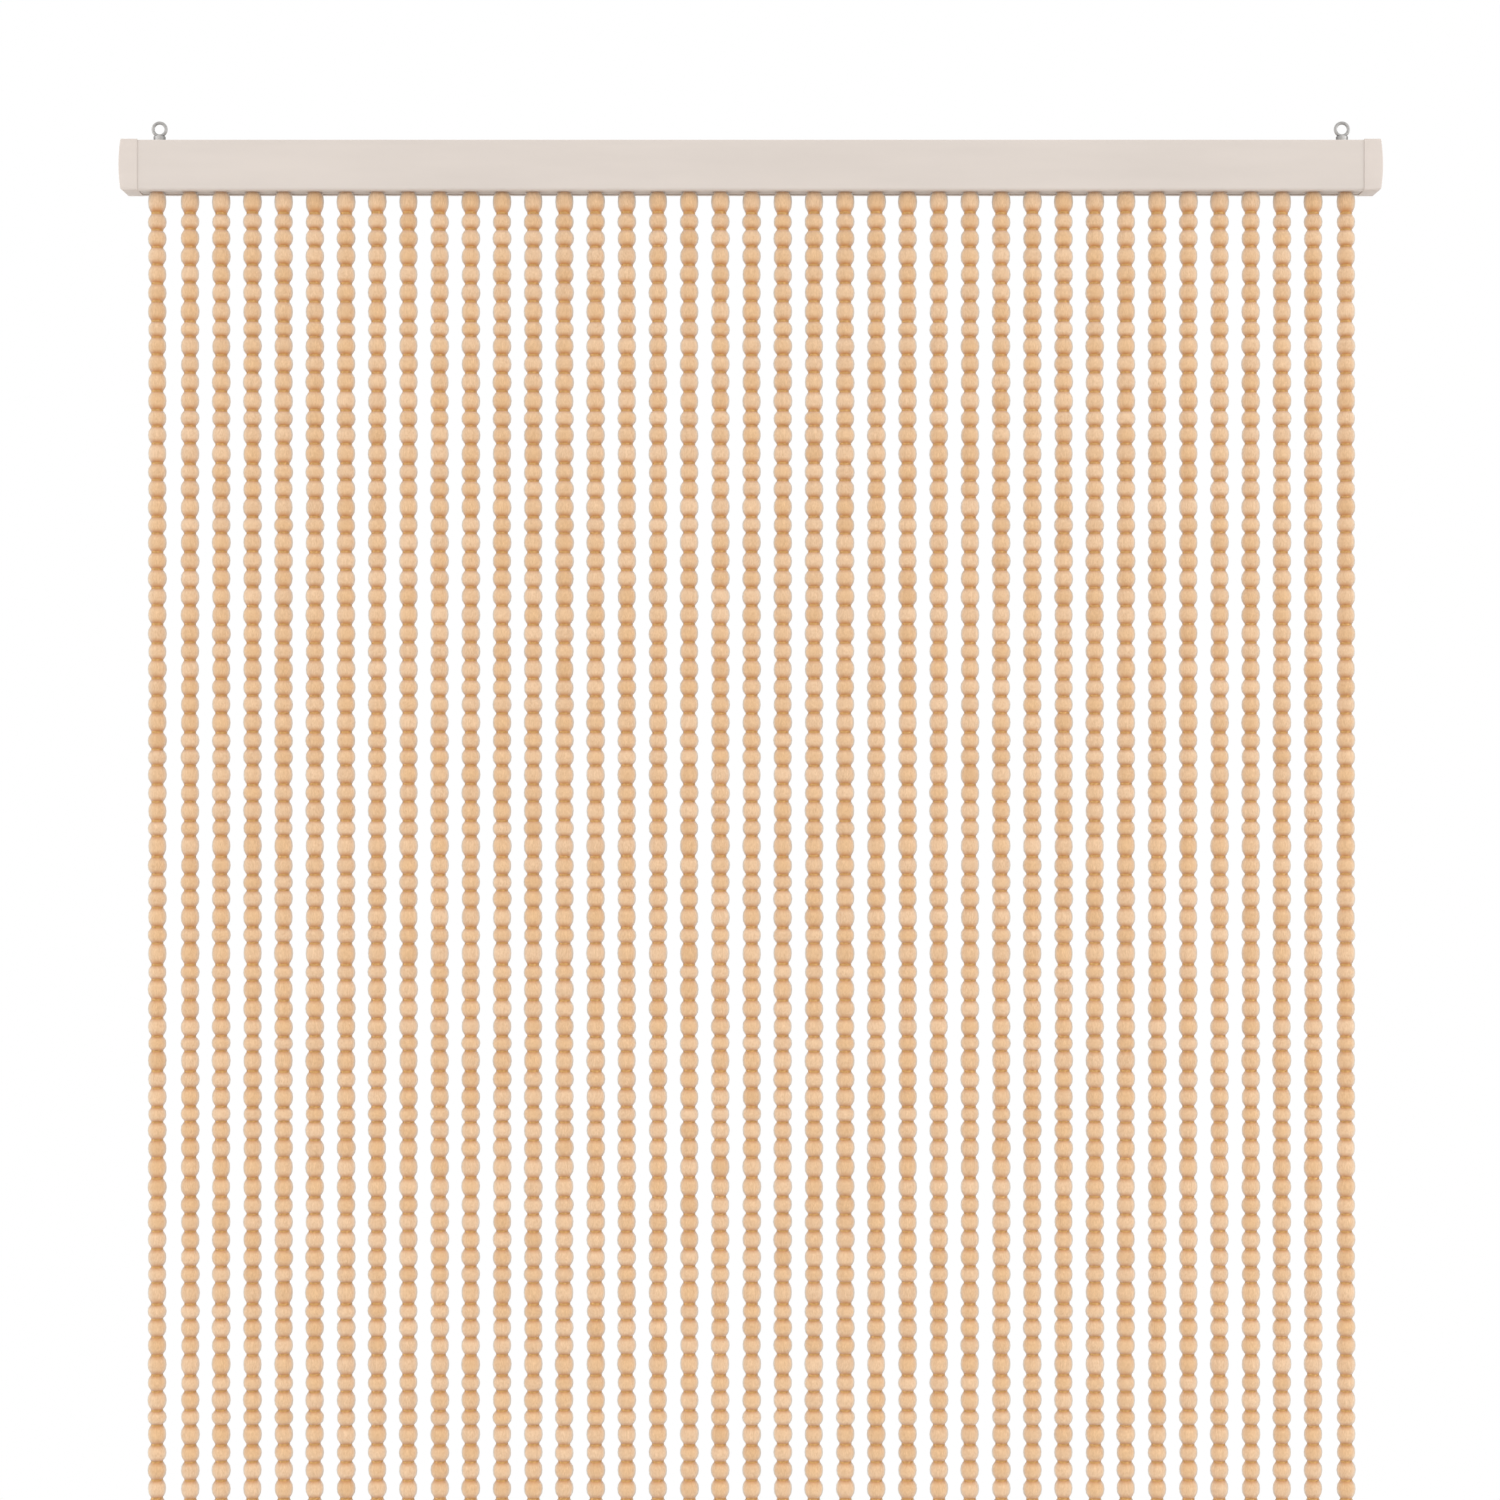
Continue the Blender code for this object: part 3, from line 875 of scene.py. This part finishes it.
def string_tree(strings):
    """The Geometry Nodes tree of one string. All its random draws have fixed seeds."""
    tree = bpy.data.node_groups.new("bead_string", "GeometryNodeTree")
    tree.is_modifier = True
    tree.interface.new_socket("Mesh", in_out="OUTPUT", socket_type="NodeSocketGeometry")
    for name, (kind, words) in TREE_INPUTS.items():
        tree.interface.new_socket(name, in_out="INPUT", socket_type=kind, description=words)
    net = Net(tree)
    given = net.add("NodeGroupInput").outputs
    drop = net.minus(given["Top"], given["Hem"])
    pitch = net.over(drop, given["Beads"])
    unit, around, down, bead = unit_mesh(net, given, pitch, strings.neck_share)

    # The points that carry the beads, each a little out of step along the string
    line = net.add("GeometryNodeMeshLine", {"Count": given["Beads"]}, mode="OFFSET")
    net.feed(line.inputs["Start Location"], net.vector(z=given["Top"]))
    net.feed(line.inputs["Offset"], net.vector(z=net.times(pitch, -1.0)))
    item = net.add("GeometryNodeInputIndex").outputs[0]
    after = net.plus(item, 1.0)
    inside = net.maths("GREATER_THAN", item, 0.5)
    stray = net.times(binding_stray(net, given, item), inside)
    outside = net.minus(1.0, inside)
    stray = net.plus(stray, net.times(given["First Bead"], outside))
    inside = net.maths("LESS_THAN", after, net.minus(given["Beads"], 0.5))
    stray_after = net.times(binding_stray(net, given, after), inside)
    length = net.plus(pitch, net.minus(stray, stray_after))
    cells = CELL_COLUMNS * CELL_ROWS
    cell = net.maths("FLOOR", random_value(net, 0.0, cells - JUST_UNDER, item, CELL_SEED))
    mixed = net.plus(net.times(given["Seed"], CELL_STRIDE), cell)
    cell = net.maths("FLOORED_MODULO", mixed, float(cells))
    girth_seed = net.plus(given["Seed"], GIRTH_SEED_SHIFT)
    girth = random_value(net, -1.0, 1.0, item, girth_seed)
    fields = {"length": length, "stray": stray, "cell": cell, "girth": girth}
    points, (length, stray, cell, girth) = capture(net, line, "POINT", **fields)
    points = net.add("GeometryNodeSetPosition", {"Geometry": points})
    net.feed(points.inputs["Offset"], net.vector(z=stray))
    facet = net.maths("FLOOR", random_value(net, 0.0, given["Sides"], item, given["Seed"]))
    turn = net.over(net.times(facet, math.tau), given["Sides"])
    beads = net.add("GeometryNodeInstanceOnPoints", {"Points": points, "Instance": unit})
    net.feed(beads.inputs["Rotation"], net.vector(z=turn))
    net.feed(beads.inputs["Scale"], net.vector(1.0, 1.0, length))
    mesh = net.add("GeometryNodeRealizeInstances", {"Geometry": beads}).outputs[0]

    # The pattern map: each bead lies in its own cell
    column = net.maths("FLOORED_MODULO", cell, float(CELL_COLUMNS))
    row = net.maths("FLOOR", net.over(cell, float(CELL_COLUMNS)))
    u = net.plus(column, net.plus(net.times(around, CELL_SPAN_U), CELL_MARGIN_U))
    v = net.plus(row, net.plus(net.times(down, CELL_SPAN_V), CELL_MARGIN_V))
    place = net.vector(net.over(u, CELL_COLUMNS), net.over(v, CELL_ROWS))
    for name in (CELL_MAP, BAKE_MAP):
        stored = net.add("GeometryNodeStoreNamedAttribute", data_type="FLOAT2", domain="CORNER")
        net.feed(stored.inputs["Geometry"], mesh)
        net.feed(stored.inputs["Name"], name)
        net.feed(stored.inputs["Value"], place)
        mesh = stored.outputs[0]
    bound = net.maths("GREATER_THAN", down, BEAD_SHARE_V + BINDING_EDGE_V)
    mesh, (bound,) = capture(net, mesh, "FACE", bound=bound)

    # Fuller and slimmer beads, and the string's own sway
    spot = net.add("ShaderNodeSeparateXYZ", {"Vector": net.add("GeometryNodeInputPosition")})
    swell = net.maths("SINE", net.times(bead, math.pi))
    wider = net.plus(net.times(swell, net.times(girth, given["Girth"])), 1.0)
    fallen = net.minus(given["Top"], spot.outputs["Z"])
    phase = net.plus(net.times(fallen, math.tau / SWAY_WAVELENGTH), given["Phase"])
    wave = net.times(net.maths("SINE", phase), net.over(fallen, drop))
    along = net.plus(given["Place"], net.times(wave, given["Sway"]))
    x = net.plus(net.times(spot.outputs["X"], wider), along)
    y = net.times(spot.outputs["Y"], wider)
    place = net.vector(x, y, spot.outputs["Z"])
    moved = net.add("GeometryNodeSetPosition", {"Geometry": mesh, "Position": place})
    merged = net.add("GeometryNodeMergeByDistance", {"Geometry": moved})
    net.feed(merged.inputs["Distance"], MERGE_DISTANCE)
    yarn = net.add("GeometryNodeSetMaterial", {"Geometry": merged, "Material": given["Yarn"]})
    thread = net.add("GeometryNodeSetMaterial", {"Geometry": yarn, "Material": given["Thread"]})
    net.feed(thread.inputs["Selection"], bound)
    net.add("NodeGroupOutput", {"Mesh": thread})
    return tree


def set_inputs(modifier, tree, values):
    """Sets a modifier's inputs by their names in the tree."""
    for item in tree.interface.items_tree:
        if item.item_type == "SOCKET" and item.in_out == "INPUT" and item.name in values:
            modifier[item.identifier] = values[item.name]


def string_place(index, strings):
    """Where a string hangs. The outermost two stand a little further out than the pitch."""
    offset = index - (STRING_COUNT - 1) / 2
    shift = strings.outer_shift if index in (0, STRING_COUNT - 1) else 0.0
    return offset * strings.pitch + math.copysign(shift, offset) + strings.side_shift


def string_hem(index):
    """The height of the string's lower end, which is uneven by a few millimetres."""
    wave = math.sin(HEM_STEP * index + HEM_START)
    return STRINGS_LOW.z + HEM_SPREAD * (0.5 + 0.5 * wave)


def last_binding(strings):
    """The height of the last binding's lower edge, the same for all strings."""
    return STRINGS_LOW.z + HEM_SPREAD + strings.stub


def close_ends(bm, index, strings):
    """Closes the string's upper end, and ends the lower one in a short stub of cut yarn."""
    rim = [edge for edge in bm.edges if edge.is_boundary]
    middle = (STRINGS_LOW.z + RAIL_LOW.z) / 2
    lower = [edge for edge in rim if edge.verts[0].co.z < middle]
    spread = bmesh.ops.extrude_edge_only(bm, edges=lower)["geom"]
    stub = [item for item in spread if isinstance(item, bmesh.types.BMVert)]
    centre = sum((vert.co for vert in stub), Vector()) / len(stub)
    for vert in stub:
        vert.co.xy = centre.xy + (vert.co.xy - centre.xy) * STUB_FLARE
        vert.co.z = string_hem(index)
    rim = [edge for edge in bm.edges if edge.is_boundary]
    closed = bmesh.ops.holes_fill(bm, edges=rim, sides=0)["faces"]
    closed += [item for item in spread if isinstance(item, bmesh.types.BMFace)]
    for face in closed:
        face.material_index = 0
        for loop in face.loops:
            side = (loop.vert.co - centre) / (strings.bead_width / 2)
            u = END_MIDDLE[0] + END_REACH[0] * side.x
            v = END_MIDDLE[1] + END_REACH[1] * side.y + STUB_SHIFT_V * (loop.vert in stub)
            for name in (CELL_MAP, BAKE_MAP):
                loop[bm.loops.layers.uv[name]].uv = (u / CELL_COLUMNS, v / CELL_ROWS)
    bmesh.ops.recalc_face_normals(bm, faces=bm.faces)


def string_mesh(index, tree, strings, yarn, thread):
    """The plain mesh of one string."""
    top = RAIL_LOW.z + STRING_ROOT - strings.first_extra
    hem = last_binding(strings)
    values = {
        "Place": string_place(index, strings),
        "Top": top,
        "First Bead": strings.first_extra,
        "Hem": hem,
        "Beads": round((top - hem) / strings.bead_pitch),
        "Bead Width": strings.bead_width,
        "Binding Height": strings.binding_height,
        "Step": strings.step,
        "Jitter": strings.jitter,
        "Girth": strings.girth,
        "Sway": strings.sway,
        "Phase": math.tau * ((index * SWAY_STEP) % 1.0),
        "Sides": strings.sides,
        "Seed": strings.seed + index,
        "Yarn": yarn,
        "Thread": thread,
    }
    work = scratch_object("string_work", bpy.data.meshes.new("string_work"))
    modifier = work.modifiers.new("bead_string", "NODES")
    modifier.node_group = tree
    set_inputs(modifier, tree, values)
    bpy.context.view_layer.update()
    return plain_mesh(work)


class CURTAIN_OT_bead_strings(bpy.types.Operator):
    """Build the strings of bound yarn beads, in groups of neighbouring strings"""

    bl_idname = "curtain.bead_strings"
    bl_label = "Bead Strings"

    def execute(self, context):
        strings = context.scene.fly_curtain.strings
        yarn, thread = yarn_material(strings), thread_material(strings)
        finishes = [yarn, thread]
        tree = string_tree(strings)
        index = 0
        for group, count in enumerate(STRING_GROUPS, 1):
            whole = bmesh.new()
            for member in range(index, index + count):
                mesh = string_mesh(member, tree, strings, yarn, thread)
                single = bmesh.new()
                single.from_mesh(mesh)
                worn = list(mesh.materials)
                for face in single.faces:
                    face.material_index = finishes.index(worn[face.material_index])
                close_ends(single, member, strings)
                single.to_mesh(mesh)
                single.free()
                whole.from_mesh(mesh)
                bpy.data.meshes.remove(mesh)
            index += count
            name = f"bead_strings_{group}"
            joined = mesh_from(whole, name)
            joined.shade_smooth()
            joined.set_sharp_from_angle(angle=math.radians(STRING_SHARP_ANGLE))
            add_piece(name, joined, finishes, ["bead_strings"])
        return {"FINISHED"}


def turned_mesh(name, outline, steps):
    """A closed outline of radius and height, turned about the Z axis."""
    bm = bmesh.new()
    verts = [bm.verts.new((radius, 0.0, height)) for radius, height in outline]
    edges = [bm.edges.new(pair) for pair in zip(verts, verts[1:])]
    bmesh.ops.spin(
        bm, geom=verts + edges, cent=(0, 0, 0), axis=(0, 0, 1), angle=math.tau, steps=steps
    )
    return tidy_mesh(mesh_from(bm, name), COLLAR_SHARP_ANGLE)


class CURTAIN_OT_eyes(bpy.types.Operator):
    """Build the two hanging eyes: a wire ring on a round collar, whose shank is in the rail"""

    bl_idname = "curtain.eyes"
    bl_label = "Hanging Eyes"

    def execute(self, context):
        eyes = context.scene.fly_curtain.eyes
        steel = steel_material(eyes)
        wire = eyes.wire / 2
        ring_radius = (EYE_HIGH.x - EYE_LOW.x) / 2 - wire
        ring_centre = EYE_HIGH.z - wire - ring_radius
        collar, shank = eyes.collar / 2, eyes.shank / 2
        collar_top = RAIL_HIGH.z + eyes.collar_height
        outline = [
            (0.0, collar_top),
            (collar - eyes.chamfer, collar_top),
            (collar, collar_top - eyes.chamfer),
            (collar, RAIL_HIGH.z + GAP),
            (shank, RAIL_HIGH.z + GAP),
            (shank, EYE_LOW.z),
            (0.0, EYE_LOW.z),
        ]
        for side, sign in SIDES.items():
            bpy.ops.mesh.primitive_torus_add(
                major_segments=RING_SEGMENTS, minor_segments=WIRE_SEGMENTS,
                major_radius=ring_radius, minor_radius=wire,
            )
            ring = context.active_object
            ring.rotation_euler.x = math.pi / 2
            ring.location = (sign * EYE_X, 0.0, ring_centre)
            foot = turned_mesh("eye_base", outline, COLLAR_SEGMENTS)
            base = scratch_object("eye_base", foot)
            base.location.x = sign * EYE_X
            combine(ring, base, "UNION")
            context.view_layer.update()
            mesh = tidy_mesh(plain_mesh(ring), SHARP_ANGLE)
            bpy.data.objects.remove(base)
            add_piece(f"hanging_eye_{side}", mesh, [steel], [f"eye_{side}"])
        return {"FINISHED"}


def add_light(name, place, size, power):
    """A soft round light that shines at the middle of the curtain and isn't seen itself."""
    light = bpy.data.lights.new(name, "AREA")
    light.shape = "DISK"
    light.size = size
    light.energy = power
    lamp = bpy.data.objects.new(name, light)
    bpy.context.scene.collection.objects.link(lamp)
    lamp.location = place
    way = Vector(LIGHT_TARGET) - Vector(place)
    lamp.rotation_euler = way.to_track_quat("-Z", "Y").to_euler()
    lamp.visible_camera = False


def studio_world(ambient):
    """White behind the curtain, and a soft light all round that is stronger from above."""
    world = bpy.data.worlds.new("studio")
    bpy.context.scene.world = world
    world.use_nodes = True
    net = Net(world.node_tree)
    world.node_tree.nodes.clear()
    way = net.add("ShaderNodeTexCoord").outputs["Generated"]
    height = net.add("ShaderNodeSeparateXYZ", {"Vector": way}).outputs["Z"]
    above = net.times(net.ramp(height, low=-1.0, high=1.0), WORLD_MORE_ABOVE)
    strength = net.times(net.plus(above, WORLD_FROM_BELOW), ambient)
    soft = net.add("ShaderNodeBackground", {"Color": rgba(WORLD_COLOUR), "Strength": strength})
    white = net.add("ShaderNodeBackground", {"Color": rgba((1.0, 1.0, 1.0)), "Strength": 1.0})
    seen = net.add("ShaderNodeLightPath").outputs["Is Camera Ray"]
    mix = net.add("ShaderNodeMixShader")
    for socket, value in zip(mix.inputs, (seen, soft, white)):
        net.feed(socket, value)
    net.add("ShaderNodeOutputWorld", {"Surface": mix})


class CURTAIN_OT_stage(bpy.types.Operator):
    """Set up the camera at the photo's angle, the pale floor and the soft studio light"""

    bl_idname = "curtain.stage"
    bl_label = "Stage"

    def execute(self, context):
        stage = context.scene.fly_curtain.stage
        pixel = 2.0 * CAP_HIGH.x / PHOTO_RAIL_WIDTH
        lens = bpy.data.cameras.new("camera")
        lens.sensor_width = SENSOR_WIDTH
        lens.lens = SENSOR_WIDTH * stage.distance / (PHOTO_SIZE * pixel)
        camera = bpy.data.objects.new("camera", lens)
        context.scene.collection.objects.link(camera)
        centre = PHOTO_SIZE / 2
        camera.location = (
            (centre - PHOTO_RAIL_CENTRE) * pixel,
            RAIL_LOW.y - stage.distance,
            RAIL_HIGH.z - (centre - PHOTO_RAIL_TOP) * pixel,
        )
        camera.rotation_euler = (math.pi / 2, 0.0, 0.0)
        context.scene.camera = camera

        bpy.ops.mesh.primitive_circle_add(
            vertices=FLOOR_SEGMENTS, radius=FLOOR_RADIUS, fill_type="NGON"
        )
        floor = context.active_object
        floor.name = "floor"
        floor.location.z = STRINGS_LOW.z - FLOOR_DROP
        floor.data.materials.append(floor_material())

        add_light("left_light", LEFT_LIGHT_PLACE, SIDE_LIGHT_SIZE, stage.left)
        add_light("right_light", RIGHT_LIGHT_PLACE, SIDE_LIGHT_SIZE, stage.right)
        add_light("back_light", BACK_LIGHT_PLACE, BACK_LIGHT_SIZE, stage.back)
        studio_world(stage.ambient)
        context.scene.view_settings.view_transform = "Standard"
        context.scene.view_settings.look = "None"
        return {"FINISHED"}


OPERATORS = (
    CURTAIN_OT_stage,
    CURTAIN_OT_rail,
    CURTAIN_OT_end_caps,
    CURTAIN_OT_backing_strip,
    CURTAIN_OT_bead_strings,
    CURTAIN_OT_eyes,
)


class VIEW3D_PT_fly_curtain(bpy.types.Panel):
    """Lists the curtain's pieces and their settings"""

    bl_idname = "VIEW3D_PT_fly_curtain"
    bl_label = "Fly Curtain"
    bl_space_type = "VIEW_3D"
    bl_region_type = "UI"
    bl_category = "Fly Curtain"

    def draw(self, context):
        settings = context.scene.fly_curtain
        for operator in OPERATORS:
            self.layout.operator(operator.bl_idname)
        for group in (settings.strings, settings.rail, settings.eyes, settings.stage):
            box = self.layout.box()
            for name in group.bl_rna.properties.keys():
                if name not in ("rna_type", "name"):
                    box.prop(group, name)


CLASSES = (
    CurtainStringSettings,
    CurtainRailSettings,
    CurtainEyeSettings,
    CurtainStageSettings,
    CurtainSettings,
    *OPERATORS,
    VIEW3D_PT_fly_curtain,
)


def register():
    for item in CLASSES:
        bpy.utils.register_class(item)
    bpy.types.Scene.fly_curtain = bpy.props.PointerProperty(type=CurtainSettings)


def unregister():
    del bpy.types.Scene.fly_curtain
    for item in reversed(CLASSES):
        bpy.utils.unregister_class(item)


def main():
    register()
    bpy.ops.curtain.stage()
    bpy.ops.curtain.rail()
    bpy.ops.curtain.end_caps()
    bpy.ops.curtain.backing_strip()
    bpy.ops.curtain.bead_strings()
    bpy.ops.curtain.eyes()


if __name__ == "__main__":
    main()
